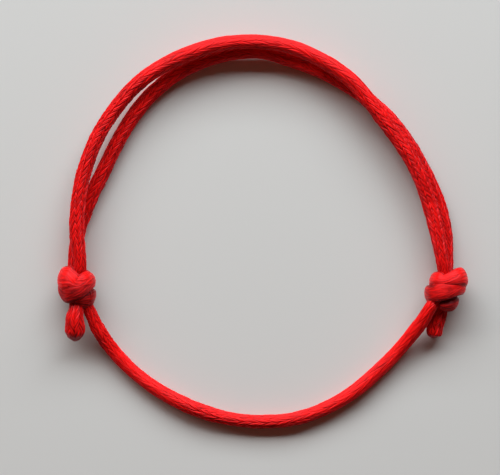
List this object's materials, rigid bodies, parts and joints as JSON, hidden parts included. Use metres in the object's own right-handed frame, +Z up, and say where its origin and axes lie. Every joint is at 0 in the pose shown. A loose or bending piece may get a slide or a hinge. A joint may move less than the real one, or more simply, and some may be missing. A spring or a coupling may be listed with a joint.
{
  "type": "kabbalah bracelet",
  "caption": "Adjustable bracelet of braided satin cord, single round the near half and doubled round the far half, with a sliding knot at each side and short melted tails.",
  "frame": {"origin": "on the surface that the bracelet lies on, under the middle of its loop", "axes": "+Z up out of the surface and along the wrist, +X from the left knot towards the right knot, +Y towards the doubled far half"},
  "size_m": [0.0682, 0.0654, 0.0062],
  "materials": {
    "satin_cord": "braided satin cord, bright red"
  },
  "bodies": {
    "root": {"single_strand": "satin_cord", "upper_strand": "satin_cord", "lower_strand": "satin_cord", "left_knot": "satin_cord", "right_knot": "satin_cord", "left_tail": "satin_cord", "right_tail": "satin_cord"}
  },
  "joints": []
}
